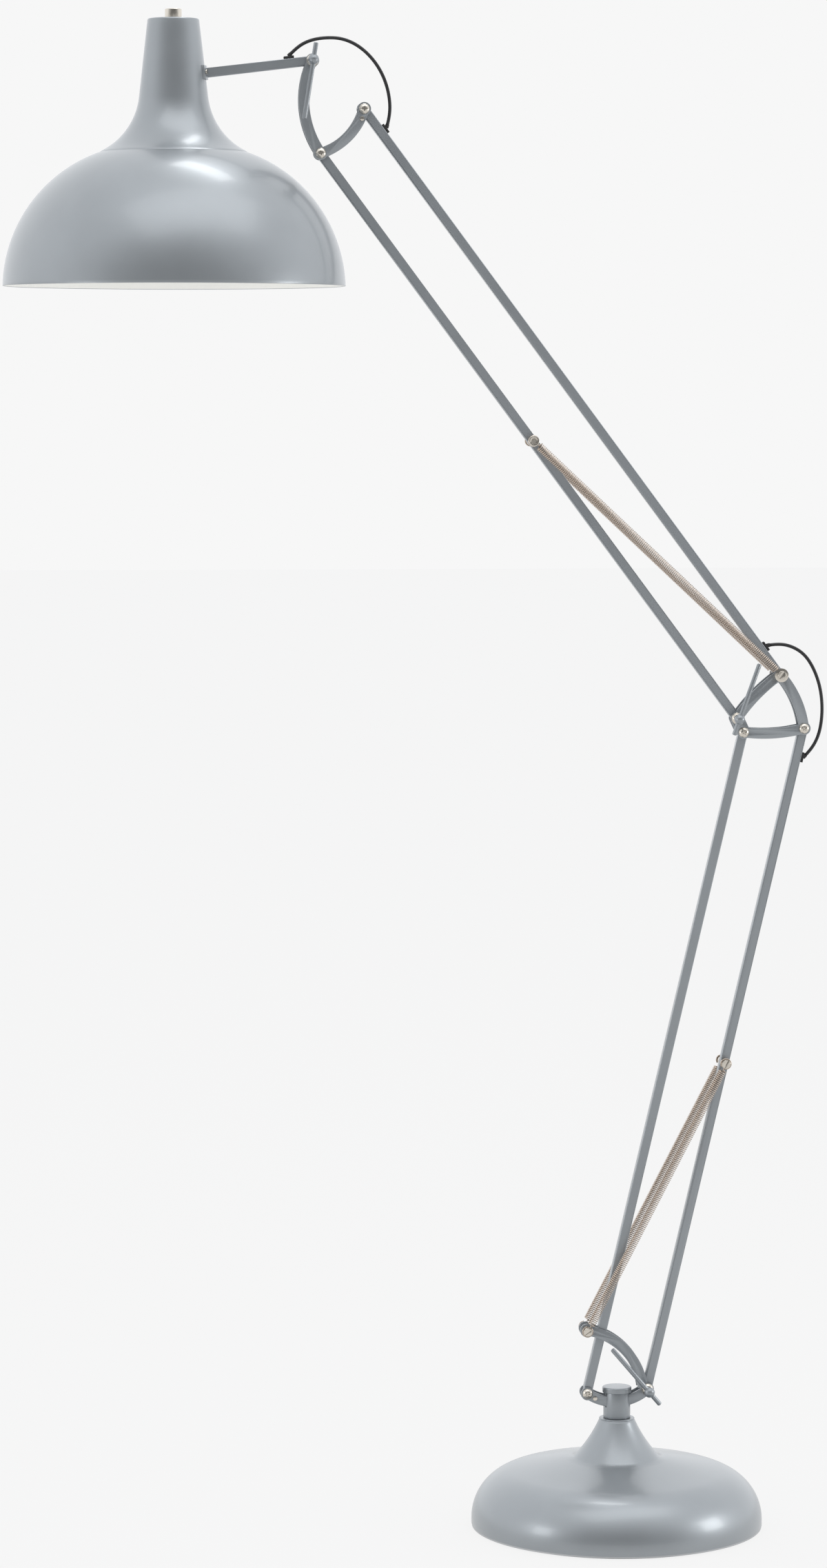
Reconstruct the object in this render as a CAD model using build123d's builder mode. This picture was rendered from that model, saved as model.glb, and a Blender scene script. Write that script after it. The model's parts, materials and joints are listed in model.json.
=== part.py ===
"""Adjustable arm floor lamp: a weighted round base, a swivelling post, and two pairs of parallel
arms, balanced by springs, that carry a wide shade and keep it level.

Millimetres. +Z is up. The origin is on the floor at the centre of the base. All arms lie in the
XZ plane and reach up to the shade on the -X side. The front of the lamp, with its clamp knobs,
faces -Y. A "depth" is a distance in front of the arms' plane, so it is measured along -Y.
"""

import os
from math import atan2, cos, degrees, hypot, radians, sin, tan

from build123d import *

os.makedirs("parts", exist_ok=True)

# ---------------------------------------------------------------- driving dimensions

# Base
base_radius = 175.0
base_side_height = 10.4
base_shoulder_radius = 126.8
base_shoulder_height = 69.2
base_neck_foot_radius = 52.0
base_neck_foot_height = 84.2
base_flare_radius = 33.6
base_flare_height = 107.7
base_neck_radius = 21.0
base_neck_height = 131.0
cover_wall = 1.5
pad_inset = 7.0
pad_thickness = 2.0
plate_thickness = 2.5
ballast_inset = 35.0
ballast_height = 18.0
ballast_screw_circle = 110.0
ballast_screw_count = 3
screw_head_radius = 5.5
gland_radius = 5.5
gland_bore_radius = 3.3
gland_length = 14.0
gland_flange = 4.0
gland_flange_lip = 2.0
gland_rise = 8.0
plate_inset = 0.5
ballast_gap = 0.3
ballast_chamfer = 3.0
ballast_screw_bite = 0.7

# Swivel
spindle_radius = 8.0
bush_wall = 2.0
swivel_tube_wall = 2.0
swivel_bush_length = 14.0
swivel_bush_rise = 15.0
spindle_rise = 6.0
spindle_head_lip = 1.5
collar_height = 13.0
collar_lip = 1.4
collar_overhang = 0.4
collar_gap = 0.6
thrust_washer_thickness = 0.6
post_radius = 16.25
post_wall = 3.0
post_height = 30.5
post_floor = 11.0
cap_radius = 17.5
cap_height = 6.8
cap_top_round = 1.6
cap_foot_round = 0.6

# Arms
bar_width = 11.0
bar_wall = 1.0
bar_end = 6.0
lower_arm_length = 816.6
lower_arm_angle = 76.9
lower_link_span = 72.6
lower_link_angle = 3.35
upper_arm_length = 830.5
upper_arm_angle = 126.69
upper_link_span = 72.8
upper_link_angle = 45.3

# Bracket plates at the base, the elbow and the head
bracket_gap = 1.0
bracket_thickness = 2.5
band_width = 12.2
boss_radius = 7.9
base_clamp_x = 36.0
base_clamp_height = 167.5
crosspiece_height = 152.8
horn_tip = (-37.7, 240.3)
horn_bend = (7.0, 217.5)
horn_root = (-5.5, 2.5)
base_rivet = (-27.5, 157.4)
head_rivet = (-2.6, -11.5)
elbow_offset = (-29.2, 64.3)
elbow_back_bow = -5.5
elbow_top_bow = 3.3
elbow_foot_bow = 3.5
head_back_bow = 14.4
head_foot_bow = 9.2
head_clamp_offset = (-60.7, 55.9)

# Bolts, bushes and knobs
bolt_radius = 3.0
running_fit = 0.05
clearance = 0.1
open_pivot_clearance = 0.3
pan_head_radius = 6.2
pan_head_height = 3.8
recess_length = 5.2
recess_width = 1.3
recess_depth = 1.8
nut_radius = 5.6
nut_height = 5.0
bush_radius = 4.3
bush_flange = 1.6
coach_head_radius = 7.2
coach_head_height = 2.4
coach_dome_radius = 5.2
coach_dome_height = 1.2
thread_end = 1.5
rivet_radius = 1.6
slot_head_radius = 5.0
slot_head_height = 3.2
socket_head_radius = 6.4
socket_depth = 2.6
knob_depth = 27.0
knob_radius = 6.4
knob_stem_radius = 4.4
washer_radius = 7.0
washer_height = 4.0
washer_taper = 2.2
handle_radius = 2.8
handle_long = 70.0
handle_short = 20.0
base_handle_angle = 130.5
elbow_handle_angle = 70.4
head_handle_angle = 261.2

# Springs
spring_depth = 18.0
coil_radius = 5.0
coil_wall = 1.4
hook_radius = 6.4
wire_radius = 0.8
sleeve_radius = 5.5
stud_rivet_radius = 2.4
big_washer_radius = 8.2
big_washer_thickness = 0.8
hook_plug = 1.5
spring_end_gap = 13.0
lower_spring_share = 0.496
upper_spring_share = 0.495

# Shade and head bar
head_bar_angle = 186.9
shade_reach = 162.1
shade_drop = 263.0
rim_radius = 200.8
rim_to_seam = 156.8
seam_radius = 84.1
rim_to_neck = 220.6
neck_radius = 40.4
rim_to_bar = 248.0
rim_to_top = 310.7
flare_middle = (55.0, 182.7)
dome_middle = (159.4, 106.7)
neck_top_radius = 30.1
shade_wall = 1.2
saddle_thickness = 2.5
saddle_height = 16.0
saddle_width = 34.0
saddle_screw_grip = 3.0
saddle_screw_head = 1.6
neck_lid_inset = 2.0
neck_lid_drop = 1.6

# Lampholder and switch
holder_radius = 19.5
holder_thread_radius = 13.2
holder_thread_length = 24.0
holder_length = 62.0
holder_mouth = 205.0
holder_step = 18.0
holder_step_inset = 2.5
holder_round = 3.0
ring_rise = 9.0
ring_height = 5.0
ring_lip = 2.5
carrier_thickness = 2.0
carrier_vents = 3
carrier_vent_radius = 3.0
carrier_vent_circle = 24.5
switch_body_radius = 13.0
button_radius = 10.0
button_height = 11.3
button_gap = 0.3
button_sink = 7.5
switch_travel = 3.0

# Cable
cable_radius = 2.0
grommet_pad = 3.0
grommet_nose = 4.0
grommet_length = 12.0
grommet_width = 8.0
grommet_stem = 4.6
grommet_stem_gap = 0.1
elbow_upper_exit = 36.7
elbow_lower_exit = 34.3
head_bar_exit = 26.7
head_arm_exit = 33.3
elbow_cable = [
    (192.0, 1063.8),
    (208.0, 1060.3),
    (222.5, 1051.0),
    (233.0, 1035.5),
    (240.5, 1016.0),
    (244.0, 996.0),
    (244.1, 975.0),
    (240.5, 954.5),
    (232.0, 938.0),
]
head_cable = [
    (-381.5, 1765.5),
    (-367.5, 1772.8),
    (-350.0, 1776.0),
    (-331.0, 1775.5),
    (-313.0, 1768.5),
    (-297.0, 1755.5),
    (-284.5, 1738.5),
    (-276.5, 1719.0),
    (-273.2, 1699.0),
    (-274.4, 1683.0),
]

# ---------------------------------------------------------------- worked out from them


def from_point(start, distance, angle):
    """The point at this distance and angle from start, in the arms' plane."""
    return (start[0] + distance * cos(radians(angle)), start[1] + distance * sin(radians(angle)))


def shifted(start, step):
    """The point one step away from start."""
    return (start[0] + step[0], start[1] + step[1])


bar_face = bar_width / 2
bracket_inner = bar_face + bracket_gap
bracket_outer = bracket_inner + bracket_thickness
sleeve_end = spring_depth + 1.4

base_clamp = (base_clamp_x, base_clamp_height)
base_pivot = from_point(base_clamp, -lower_link_span, lower_link_angle)
elbow_main = from_point(base_clamp, lower_arm_length, lower_arm_angle)
elbow_link = from_point(elbow_main, -lower_link_span, lower_link_angle)
elbow_top = shifted(elbow_main, elbow_offset)
elbow_clamp = from_point(elbow_top, -upper_link_span, upper_link_angle)
head_top = from_point(elbow_top, upper_arm_length, upper_arm_angle)
head_foot = from_point(head_top, -upper_link_span, upper_link_angle)
head_clamp = shifted(head_top, head_clamp_offset)
lower_spring_top = from_point(base_clamp, lower_arm_length * lower_spring_share, lower_arm_angle)
upper_spring_top = from_point(elbow_clamp, upper_arm_length * upper_spring_share, upper_arm_angle)

shade_x = head_clamp[0] - shade_reach
rim_z = head_clamp[1] - shade_drop

plate_top = pad_thickness + plate_thickness
tube_inner = spindle_radius + running_fit + bush_wall
tube_outer = tube_inner + swivel_tube_wall
lip_top = base_neck_height + collar_lip
post_bottom = lip_top + thrust_washer_thickness
post_top = post_bottom + post_height


# ---------------------------------------------------------------- shared shapes

upright = (Align.CENTER, Align.CENTER, Align.MIN)


def finish(piece, name):
    """Label a finished piece and write it."""
    piece.part.label = name
    export_step(piece.part, f"parts/{name}.step")


def facing(centre, depth, side=1):
    """The place at this depth whose z points forward, or backward when side is -1."""
    return Location((centre[0], -depth, centre[1]), (90 * side, 0, 0))


def round_bar(centre, radius, near, far, mode=Mode.ADD):
    """A round bar across the arms' plane, from depth near to depth far."""
    with Locations(facing(centre, near)):
        Cylinder(radius, far - near, align=upright, mode=mode)


def block(centre, angle, size, near, far, mode=Mode.ADD):
    """A flat-faced block, turned by angle in the arms' plane, from depth near to depth far."""
    with Locations(facing(centre, near) * Location((0, 0, 0), (0, 0, angle))):
        Box(size[0], size[1], far - near, align=upright, mode=mode)


def rod(start, angle, depth, near, far, radius, mode=Mode.ADD):
    """A round rod at one depth, from near to far along this angle from start."""
    with Locations(Location((start[0], -depth, start[1]), (0, 90 - angle, 0)) * Location((0, 0, near))):
        Cylinder(radius, far - near, align=upright, mode=mode)


def place(piece, spot, turn=0.0, mode=Mode.ADD):
    """Add a ready-made piece with its axis along the spot's z."""
    add(spot * Location((0, 0, 0), (0, 0, turn)) * piece.part, mode=mode)


with BuildPart() as pan_head:
    with BuildSketch(Plane.XZ):
        with BuildLine():
            Polyline((0, pan_head_height), (0, 0), (pan_head_radius, 0), (pan_head_radius, 0.8))
            ThreePointArc(
                (pan_head_radius, 0.8),
                (pan_head_radius * 0.72, pan_head_height * 0.78),
                (0, pan_head_height),
            )
        make_face()
    revolve(axis=Axis.Z)
    with BuildSketch(Plane.XY.offset(pan_head_height - recess_depth)):
        Rectangle(recess_length, recess_width)
        Rectangle(recess_width, recess_length)
    extrude(amount=2 * recess_depth, mode=Mode.SUBTRACT)

with BuildPart() as hex_nut:
    with BuildSketch():
        RegularPolygon(nut_radius, 6)
        Circle(bolt_radius, mode=Mode.SUBTRACT)
    extrude(amount=nut_height)

with BuildPart() as slotted_head:
    Cylinder(slot_head_radius, slot_head_height, align=upright)
    fillet(slotted_head.edges().group_by(Axis.Z)[-1], 0.7)
    with Locations((0, 0, slot_head_height)):
        Box(3 * slot_head_radius, 1.3, 2.4, mode=Mode.SUBTRACT)

with BuildPart() as socket_head:
    Cylinder(socket_head_radius, slot_head_height, align=upright)
    fillet(socket_head.edges().group_by(Axis.Z)[-1], 0.8)
    with BuildSketch(Plane.XY.offset(slot_head_height)):
        RegularPolygon(socket_head_radius * 0.6, 6)
    extrude(amount=-socket_depth, mode=Mode.SUBTRACT)


def pan_bolt(centre, turn):
    """A cross-recessed bolt through both bracket plates, with its nut on the rear plate."""
    round_bar(centre, bolt_radius, -bracket_outer - nut_height - thread_end, bracket_outer)
    place(pan_head, facing(centre, bracket_outer), turn)
    place(hex_nut, facing(centre, -bracket_outer, -1), turn)


def clamp_bolt(centre):
    """A coach bolt with a domed head at the rear, long enough to reach into a knob."""
    round_bar(centre, bolt_radius, -bracket_outer, knob_depth - handle_radius - 1.0)
    head_back = -bracket_outer - coach_head_height
    round_bar(centre, coach_head_radius, head_back, -bracket_outer)
    round_bar(centre, coach_dome_radius, head_back - coach_dome_height, head_back)


def dome_washer(centre):
    """A domed washer on the front bracket plate."""
    with Locations(facing(centre, bracket_outer)):
        Cylinder(washer_radius, washer_height * 0.4, align=upright)
    with Locations(facing(centre, bracket_outer + washer_height * 0.4)):
        Cone(washer_radius, washer_radius - washer_taper, washer_height * 0.6, align=upright)
    hole = bolt_radius + clearance
    round_bar(centre, hole, bracket_outer, bracket_outer + washer_height, Mode.SUBTRACT)


def tee_knob(centre, angle):
    """A ball-ended hub on the clamp bolt, with a handle rod brazed through it off centre."""
    stem_start = bracket_outer + washer_height + clearance
    round_bar(centre, knob_stem_radius, stem_start, knob_depth - knob_radius + 2.0)
    with Locations((centre[0], -knob_depth, centre[1])):
        Sphere(knob_radius)
    bolt_hole_end = knob_depth - handle_radius - 0.6
    round_bar(centre, bolt_radius + running_fit, stem_start, bolt_hole_end, Mode.SUBTRACT)
    rod(centre, angle, knob_depth, -handle_short, handle_long, handle_radius)


def square_bar(start, length, angle, far_end=bar_end):
    """A square tube in the arms' plane, with its first pivot at start."""
    total = length + bar_end + far_end
    middle = from_point(start, (length + far_end - bar_end) / 2, angle)
    inside = bar_width - 2 * bar_wall
    block(middle, angle, (total, bar_width), -bar_face, bar_face)
    block(middle, angle, (total + 1.0, inside), -inside / 2, inside / 2, Mode.SUBTRACT)


def bush(centre, bore):
    """A flanged sleeve through a bar; its flanges keep the bar off the bracket plates."""
    flange_end = bracket_inner - clearance
    round_bar(centre, bush_radius, -bar_face, bar_face)
    round_bar(centre, bush_radius + bush_flange, bar_face, flange_end)
    round_bar(centre, bush_radius + bush_flange, -flange_end, -bar_face)
    round_bar(centre, bore, -flange_end, flange_end, Mode.SUBTRACT)


def bush_holes(*centres):
    """The holes through a bar for its bushes."""
    for centre in centres:
        round_bar(centre, bush_radius + clearance, -bar_face, bar_face, Mode.SUBTRACT)


def heading(start, end):
    """The angle from start to end in the arms' plane."""
    return degrees(atan2(end[1] - start[1], end[0] - start[0]))


def span(start, end):
    """The distance from start to end."""
    return hypot(end[0] - start[0], end[1] - start[1])


def nose_tip(centre, outward, target):
    """Where a grommet's nose ends, when it points from its pad at the cable's next point."""
    foot = from_point(centre, bar_face + grommet_pad, outward)
    return from_point(foot, grommet_nose, heading(foot, target))


def grommet(centre, outward, target):
    """A rubber grommet on one face of a bar, with a nose that the cable leaves from."""
    pad = from_point(centre, bar_face + grommet_pad / 2, outward)
    foot = from_point(centre, bar_face - bar_wall / 2, outward)
    top = from_point(centre, bar_face + grommet_pad, outward)
    block(pad, outward, (grommet_pad, grommet_length), -grommet_width / 2, grommet_width / 2)
    block(foot, outward, (bar_wall, grommet_stem), -grommet_stem / 2, grommet_stem / 2)
    rod(top, heading(top, target), 0.0, -0.3, grommet_nose, cable_radius + 0.4)


def grommet_hole(centre, outward):
    """The hole in a bar's wall for one grommet."""
    foot = from_point(centre, bar_face - bar_wall / 2, outward)
    hole = grommet_stem + 2 * grommet_stem_gap
    block(foot, outward, (bar_wall + 0.4, hole), -hole / 2, hole / 2, Mode.SUBTRACT)


def spring_stud(centre, face, side, head, turn=0.0):
    """A sleeved stud for one spring's hook, riveted into a face at this depth."""
    shaft = facing(centre, side * (face - 1.0), side)
    with Locations(shaft):
        Cylinder(stud_rivet_radius, 1.0, align=upright)
    with Locations(facing(centre, side * face, side)):
        Cylinder(sleeve_radius, sleeve_end - face, align=upright)
    place(head, facing(centre, side * sleeve_end, side), turn)


def plate_rivet(centre, side):
    """A round-headed rivet through the front or the rear bracket plate."""
    with Locations(facing(centre, side * bracket_inner, side)):
        Cylinder(rivet_radius, bracket_thickness, align=upright)
    with Locations(facing(centre, side * bracket_outer, side)):
        Cylinder(rivet_radius + 1.0, 1.1, align=upright)


def stud_holes(centre, face):
    """The rivet holes for a pair of studs in the two faces of a bar or bracket."""
    hole = stud_rivet_radius + clearance
    for side in (1, -1):
        with Locations(facing(centre, side * (face - bracket_thickness - 0.2), side)):
            Cylinder(hole, bracket_thickness + 0.2, align=upright, mode=Mode.SUBTRACT)


def bowed(start, end, bow):
    """The middle of an arc that bows this far to the right of the way from start to end."""
    length = span(start, end)
    across = ((end[1] - start[1]) / length, -(end[0] - start[0]) / length)
    middle = ((start[0] + end[0]) / 2, (start[1] + end[1]) / 2)
    return (middle[0] + bow * across[0], middle[1] + bow * across[1])


def cable_tube(points):
    """A round cable along these points, with each corner as wide as its two runs allow."""
    places = [Vector(x, 0, z) for x, z in points]
    runs = [b - a for a, b in zip(places, places[1:])]
    radii = []
    for a, b in zip(runs, runs[1:]):
        half_turn = radians(a.get_angle(b)) / 2
        radii.append(0.45 * min(a.length, b.length) / tan(half_turn))
    with BuildPart() as tube:
        with BuildLine() as route:
            FilletPolyline(*places, radius=radii)
        with BuildSketch(Plane(origin=places[0], z_dir=runs[0])):
            Circle(cable_radius)
        sweep(path=route.wire())
    print("cable", [round(r, 1) for r in radii], round(route.wire().length, 1), round(tube.part.volume, 1))
    return tube


# ---------------------------------------------------------------- base

with BuildPart() as base_cover:
    with BuildSketch(Plane.XZ):
        with BuildLine():
            Line((base_radius, plate_top), (base_radius, base_side_height))
            TangentArc(
                (base_radius, base_side_height),
                (base_shoulder_radius, base_shoulder_height),
                tangent=(0, 1),
            )
            Line(
                (base_shoulder_radius, base_shoulder_height),
                (base_neck_foot_radius, base_neck_foot_height),
            )
            ThreePointArc(
                (base_neck_foot_radius, base_neck_foot_height),
                (base_flare_radius, base_flare_height),
                (base_neck_radius, base_neck_height),
            )
            offset(amount=cover_wall, side=Side.LEFT)
        make_face()
    revolve(axis=Axis.Z)
    gland_height = plate_top + gland_rise
    gland_spot = Location((0, base_radius + gland_flange, gland_height), (90, 0, 0))
    with Locations(gland_spot):
        Cylinder(gland_radius + clearance, 20.0, mode=Mode.SUBTRACT)
finish(base_cover, "base_cover")

with BuildPart() as base_plate:
    with BuildSketch(Plane.XY.offset(pad_thickness)):
        Circle(base_radius - plate_inset)
        with PolarLocations(ballast_screw_circle, ballast_screw_count):
            Circle(screw_head_radius + clearance, mode=Mode.SUBTRACT)
    extrude(amount=plate_thickness)
finish(base_plate, "base_plate")

with BuildPart() as base_pad:
    with BuildSketch():
        Circle(base_radius - pad_inset)
    extrude(amount=pad_thickness)
finish(base_pad, "base_pad")

with BuildPart() as base_ballast:
    with BuildSketch(Plane.XY.offset(plate_top)):
        Circle(base_radius - ballast_inset)
        Circle(tube_outer + ballast_gap, mode=Mode.SUBTRACT)
        with PolarLocations(ballast_screw_circle, ballast_screw_count):
            Circle(bolt_radius + clearance, mode=Mode.SUBTRACT)
    extrude(amount=ballast_height)
    chamfer(base_ballast.edges().group_by(Axis.Z)[-1].sort_by(SortBy.LENGTH)[-1], ballast_chamfer)
finish(base_ballast, "base_ballast")

with BuildPart() as ballast_screws:
    with PolarLocations(ballast_screw_circle, ballast_screw_count):
        with Locations((0, 0, pad_thickness)):
            Cylinder(screw_head_radius, plate_thickness, align=upright)
            Cylinder(bolt_radius, plate_thickness + ballast_height * ballast_screw_bite, align=upright)
finish(ballast_screws, "ballast_screws")

with BuildPart() as swivel_tube:
    with BuildSketch(Plane.XY.offset(plate_top)):
        Circle(tube_outer)
        Circle(tube_inner, mode=Mode.SUBTRACT)
    extrude(amount=base_neck_height - plate_top)
finish(swivel_tube, "swivel_tube")

bush_feet = (plate_top + swivel_bush_rise, base_neck_height - swivel_bush_length)
with BuildPart() as swivel_bushes:
    for foot in bush_feet:
        with BuildSketch(Plane.XY.offset(foot)):
            Circle(tube_inner)
            Circle(spindle_radius + running_fit, mode=Mode.SUBTRACT)
        extrude(amount=swivel_bush_length)
    with BuildSketch(Plane.XY.offset(lip_top)):
        Circle(post_radius - 1.0)
        Circle(spindle_radius + running_fit, mode=Mode.SUBTRACT)
    extrude(amount=thrust_washer_thickness)
finish(swivel_bushes, "swivel_bushes")

with BuildPart() as collar_ring:
    with BuildSketch(Plane.XY.offset(base_neck_height)):
        Circle(base_neck_radius + collar_overhang)
        Circle(spindle_radius + collar_gap, mode=Mode.SUBTRACT)
    extrude(amount=collar_lip)
    fillet(collar_ring.edges().group_by(Axis.Z)[-1].sort_by(SortBy.LENGTH)[-1], collar_lip * 0.7)
    with BuildSketch(Plane.XY.offset(base_neck_height)):
        Circle(base_neck_radius - cover_wall - collar_gap)
        Circle(tube_outer + clearance, mode=Mode.SUBTRACT)
    extrude(amount=-collar_height)
finish(collar_ring, "collar_ring")

with BuildPart() as cable_gland:
    with Locations(gland_spot):
        Cylinder(gland_radius + gland_flange_lip, gland_flange, align=upright)
        Cylinder(gland_radius, gland_length, align=upright)
        Cylinder(gland_bore_radius, gland_length, align=upright, mode=Mode.SUBTRACT)
finish(cable_gland, "cable_gland")

# ---------------------------------------------------------------- post

with BuildPart() as post_tube:
    with BuildSketch(Plane.XY.offset(post_bottom)):
        Circle(post_radius)
        Circle(spindle_radius, mode=Mode.SUBTRACT)
    extrude(amount=post_height)
    with BuildSketch(Plane.XY.offset(post_bottom + post_floor)):
        Circle(post_radius - post_wall)
    extrude(amount=post_height - post_floor, mode=Mode.SUBTRACT)
    slot_depth = post_top - crosspiece_height + band_width / 2 + 0.4
    slot_middle = (bracket_inner + bracket_outer) / 2
    for side in (1, -1):
        with Locations((0, side * slot_middle, post_top - slot_depth / 2)):
            Box(60, bracket_thickness + 2 * clearance, slot_depth, mode=Mode.SUBTRACT)
finish(post_tube, "post_tube")

with BuildPart() as post_cap:
    with BuildSketch(Plane.XY.offset(post_top)):
        Circle(cap_radius)
    extrude(amount=cap_height)
    fillet(post_cap.edges().group_by(Axis.Z)[-1], cap_top_round)
    fillet(post_cap.edges().group_by(Axis.Z)[0], cap_foot_round)
finish(post_cap, "post_cap")

with BuildPart() as swivel_spindle:
    spindle_foot = plate_top + spindle_rise
    with Locations((0, 0, spindle_foot)):
        Cylinder(spindle_radius, post_bottom + post_floor - spindle_foot, align=upright)
        Cylinder(spindle_radius + spindle_head_lip, bush_feet[0] - spindle_foot - ballast_gap, align=upright)
finish(swivel_spindle, "swivel_spindle")

with BuildPart() as base_bracket_plates:
    for depth in (bracket_inner, -bracket_outer):
        with BuildSketch(Plane.XZ.offset(depth)):
            with BuildLine():
                ThreePointArc(base_pivot, (0, crosspiece_height), base_clamp)
            trace(line_width=band_width)
            with BuildLine():
                ThreePointArc(horn_tip, horn_bend, shifted(base_clamp, horn_root))
            trace(line_width=band_width)
            with Locations(base_pivot, base_clamp, horn_tip):
                Circle(boss_radius)
            with Locations(base_pivot, base_clamp):
                Circle(bolt_radius + clearance, mode=Mode.SUBTRACT)
            with Locations(base_rivet):
                Circle(rivet_radius + clearance, mode=Mode.SUBTRACT)
        extrude(amount=bracket_thickness)
    stud_holes(horn_tip, bracket_outer)
finish(base_bracket_plates, "base_bracket_plates")

with BuildPart() as bracket_studs:
    for side in (1, -1):
        spring_stud(horn_tip, bracket_outer, side, slotted_head, 35)
        plate_rivet(base_rivet, side)
finish(bracket_studs, "bracket_studs")

with BuildPart() as base_pivot_bolt:
    pan_bolt(base_pivot, 10)
finish(base_pivot_bolt, "base_pivot_bolt")

with BuildPart() as base_clamp_bolt:
    clamp_bolt(base_clamp)
finish(base_clamp_bolt, "base_clamp_bolt")

with BuildPart() as base_clamp_washer:
    dome_washer(base_clamp)
finish(base_clamp_washer, "base_clamp_washer")

with BuildPart() as base_knob:
    tee_knob(base_clamp, base_handle_angle)
finish(base_knob, "base_knob")

# ---------------------------------------------------------------- lower arms

lower_exit = from_point(elbow_main, -elbow_lower_exit, lower_arm_angle)
lower_outward = lower_arm_angle - 90

with BuildPart() as lower_main_bar:
    square_bar(base_clamp, lower_arm_length, lower_arm_angle)
    bush_holes(base_clamp, elbow_main)
    stud_holes(lower_spring_top, bar_face)
    grommet_hole(lower_exit, lower_outward)
finish(lower_main_bar, "lower_main_bar")

with BuildPart() as lower_main_bushes:
    for centre in (base_clamp, elbow_main):
        bush(centre, bolt_radius + running_fit)
finish(lower_main_bushes, "lower_main_bushes")

with BuildPart() as lower_bar_studs:
    for side in (1, -1):
        spring_stud(lower_spring_top, bar_face, side, slotted_head, 60)
finish(lower_bar_studs, "lower_bar_studs")

with BuildPart() as lower_arm_grommet:
    grommet(lower_exit, lower_outward, elbow_cable[-1])
finish(lower_arm_grommet, "lower_arm_grommet")

with BuildPart() as lower_link_bar:
    square_bar(base_pivot, lower_arm_length, lower_arm_angle)
    bush_holes(base_pivot, elbow_link)
finish(lower_link_bar, "lower_link_bar")

with BuildPart() as lower_link_bushes:
    bush(base_pivot, bolt_radius + running_fit)
    bush(elbow_link, bolt_radius + open_pivot_clearance)
finish(lower_link_bushes, "lower_link_bushes")

# ---------------------------------------------------------------- elbow

with BuildPart() as elbow_plates:
    for depth in (bracket_inner, -bracket_outer):
        with BuildSketch(Plane.XZ.offset(depth)):
            for start, end, bow in (
                (elbow_top, elbow_main, elbow_back_bow),
                (elbow_top, elbow_clamp, elbow_top_bow),
                (elbow_link, elbow_main, elbow_foot_bow),
            ):
                with BuildLine():
                    ThreePointArc(start, bowed(start, end, bow), end)
                trace(line_width=band_width)
            with BuildLine():
                Line(elbow_clamp, elbow_link)
            trace(line_width=2 * boss_radius)
            with Locations(elbow_top, elbow_clamp, elbow_link, elbow_main):
                Circle(boss_radius)
                Circle(bolt_radius + clearance, mode=Mode.SUBTRACT)
        extrude(amount=bracket_thickness)
finish(elbow_plates, "elbow_plates")

with BuildPart() as elbow_pivot_bolts:
    pan_bolt(elbow_link, 25)
    pan_bolt(elbow_main, 40)
finish(elbow_pivot_bolts, "elbow_pivot_bolts")

with BuildPart() as elbow_clamp_bolt:
    clamp_bolt(elbow_clamp)
finish(elbow_clamp_bolt, "elbow_clamp_bolt")

with BuildPart() as elbow_clamp_washer:
    dome_washer(elbow_clamp)
finish(elbow_clamp_washer, "elbow_clamp_washer")

with BuildPart() as elbow_spring_bolt:
    round_bar(elbow_top, bolt_radius, -sleeve_end, sleeve_end)
    for side in (1, -1):
        with Locations(facing(elbow_top, side * bracket_outer, side)):
            Cylinder(sleeve_radius, sleeve_end - bracket_outer, align=upright)
        with Locations(facing(elbow_top, side * sleeve_end, side)):
            Cylinder(big_washer_radius, big_washer_thickness, align=upright)
        place(slotted_head, facing(elbow_top, side * (sleeve_end + big_washer_thickness), side), 50)
finish(elbow_spring_bolt, "elbow_spring_bolt")

with BuildPart() as elbow_knob:
    tee_knob(elbow_clamp, elbow_handle_angle)
finish(elbow_knob, "elbow_knob")

# ---------------------------------------------------------------- upper arms

upper_low_exit = from_point(elbow_top, elbow_upper_exit, upper_arm_angle)
upper_high_exit = from_point(head_top, -head_arm_exit, upper_arm_angle)
upper_outward = upper_arm_angle - 90

with BuildPart() as upper_main_bar:
    square_bar(elbow_top, upper_arm_length, upper_arm_angle)
    bush_holes(elbow_top, head_top)
    grommet_hole(upper_low_exit, upper_outward)
    grommet_hole(upper_high_exit, upper_outward)
finish(upper_main_bar, "upper_main_bar")

with BuildPart() as upper_main_bushes:
    for centre in (elbow_top, head_top):
        bush(centre, bolt_radius + running_fit)
finish(upper_main_bushes, "upper_main_bushes")

with BuildPart() as upper_arm_grommets:
    grommet(upper_low_exit, upper_outward, elbow_cable[0])
    grommet(upper_high_exit, upper_outward, head_cable[-1])
finish(upper_arm_grommets, "upper_arm_grommets")

with BuildPart() as upper_link_bar:
    square_bar(elbow_clamp, upper_arm_length, upper_arm_angle)
    bush_holes(elbow_clamp, head_foot)
    stud_holes(upper_spring_top, bar_face)
finish(upper_link_bar, "upper_link_bar")

with BuildPart() as upper_link_bushes:
    bush(elbow_clamp, bolt_radius + running_fit)
    bush(head_foot, bolt_radius + open_pivot_clearance)
finish(upper_link_bushes, "upper_link_bushes")

with BuildPart() as upper_bar_studs:
    for side in (1, -1):
        spring_stud(upper_spring_top, bar_face, side, socket_head, 10)
finish(upper_bar_studs, "upper_bar_studs")

# ---------------------------------------------------------------- head bracket

with BuildPart() as head_plates:
    for depth in (bracket_inner, -bracket_outer):
        with BuildSketch(Plane.XZ.offset(depth)):
            for start, end, bow in (
                (head_clamp, head_foot, head_back_bow),
                (head_foot, head_top, head_foot_bow),
            ):
                with BuildLine():
                    ThreePointArc(start, bowed(start, end, bow), end)
                trace(line_width=band_width)
            with Locations(head_clamp, head_foot, head_top):
                Circle(boss_radius)
                Circle(bolt_radius + clearance, mode=Mode.SUBTRACT)
            with Locations(shifted(head_top, head_rivet)):
                Circle(rivet_radius + clearance, mode=Mode.SUBTRACT)
        extrude(amount=bracket_thickness)
finish(head_plates, "head_plates")

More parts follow.
